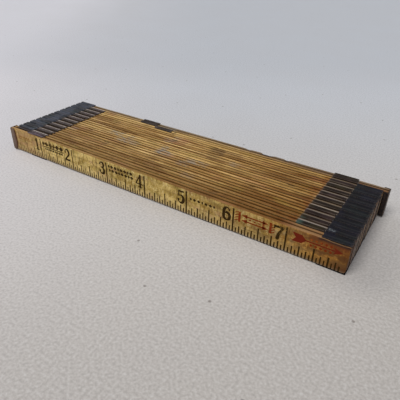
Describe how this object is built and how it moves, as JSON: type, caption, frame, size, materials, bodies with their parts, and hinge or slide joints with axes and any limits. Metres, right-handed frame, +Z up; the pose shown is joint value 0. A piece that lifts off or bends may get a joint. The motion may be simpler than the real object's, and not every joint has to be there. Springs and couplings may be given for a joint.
{
  "type": "sliding extension rule",
  "caption": "Closed wooden extension rule: parallel grooved slats with inch scales, guided on one another by bent sheet-metal clips, with metal end caps; each section slides lengthwise.",
  "frame": {"origin": "centre of the footprint, on the plane that the clips' lower flanges rest on", "axes": "+X along the slats towards the high end of the scale, +Y from the first slat to the last, +Z up, across the slats' width"},
  "size_m": [0.2072, 0.0572, 0.0146],
  "materials": {
    "wood": "aged satin varnish",
    "clip_enamel": "worn black enamel",
    "cap_metal": "dark brown patina"
  },
  "bodies": {
    "section_01": {"slat_01": "wood", "right_clip_01": "clip_enamel", "start_end_cap": "cap_metal"},
    "section_02": {"slat_02": "wood", "right_clip_02": "clip_enamel", "left_clip_02": "clip_enamel"},
    "section_03": {"slat_03": "wood", "right_clip_03": "clip_enamel", "left_clip_03": "clip_enamel"},
    "section_04": {"slat_04": "wood", "right_clip_04": "clip_enamel", "left_clip_04": "clip_enamel"},
    "section_05": {"slat_05": "wood", "right_clip_05": "clip_enamel", "left_clip_05": "clip_enamel"},
    "section_06": {"slat_06": "wood", "right_clip_06": "clip_enamel", "left_clip_06": "clip_enamel"},
    "section_07": {"slat_07": "wood", "right_clip_07": "clip_enamel", "left_clip_07": "clip_enamel"},
    "section_08": {"slat_08": "wood", "right_clip_08": "clip_enamel", "left_clip_08": "clip_enamel"},
    "section_09": {"slat_09": "wood", "right_clip_09": "clip_enamel", "left_clip_09": "clip_enamel"},
    "section_10": {"slat_10": "wood", "right_clip_10": "clip_enamel", "left_clip_10": "clip_enamel"},
    "section_11": {"slat_11": "wood", "right_clip_11": "clip_enamel", "left_clip_11": "clip_enamel"},
    "section_12": {"slat_12": "wood", "left_clip_12": "clip_enamel", "stop_clip": "clip_enamel", "finish_end_cap": "cap_metal"}
  },
  "joints": [
    {"name": "slide_02", "type": "slide", "parent": "section_01", "child": "section_02", "axis": [1, 0, 0], "range_m": [0, 0.1524]},
    {"name": "slide_03", "type": "slide", "parent": "section_02", "child": "section_03", "axis": [1, 0, 0], "range_m": [0, 0.1524]},
    {"name": "slide_04", "type": "slide", "parent": "section_03", "child": "section_04", "axis": [1, 0, 0], "range_m": [0, 0.1524]},
    {"name": "slide_05", "type": "slide", "parent": "section_04", "child": "section_05", "axis": [1, 0, 0], "range_m": [0, 0.1524]},
    {"name": "slide_06", "type": "slide", "parent": "section_05", "child": "section_06", "axis": [1, 0, 0], "range_m": [0, 0.1524]},
    {"name": "slide_07", "type": "slide", "parent": "section_06", "child": "section_07", "axis": [1, 0, 0], "range_m": [0, 0.1524]},
    {"name": "slide_08", "type": "slide", "parent": "section_07", "child": "section_08", "axis": [1, 0, 0], "range_m": [0, 0.1524]},
    {"name": "slide_09", "type": "slide", "parent": "section_08", "child": "section_09", "axis": [1, 0, 0], "range_m": [0, 0.1524]},
    {"name": "slide_10", "type": "slide", "parent": "section_09", "child": "section_10", "axis": [1, 0, 0], "range_m": [0, 0.1524]},
    {"name": "slide_11", "type": "slide", "parent": "section_10", "child": "section_11", "axis": [1, 0, 0], "range_m": [0, 0.1524]},
    {"name": "slide_12", "type": "slide", "parent": "section_11", "child": "section_12", "axis": [1, 0, 0], "range_m": [0, 0.0977]}
  ]
}
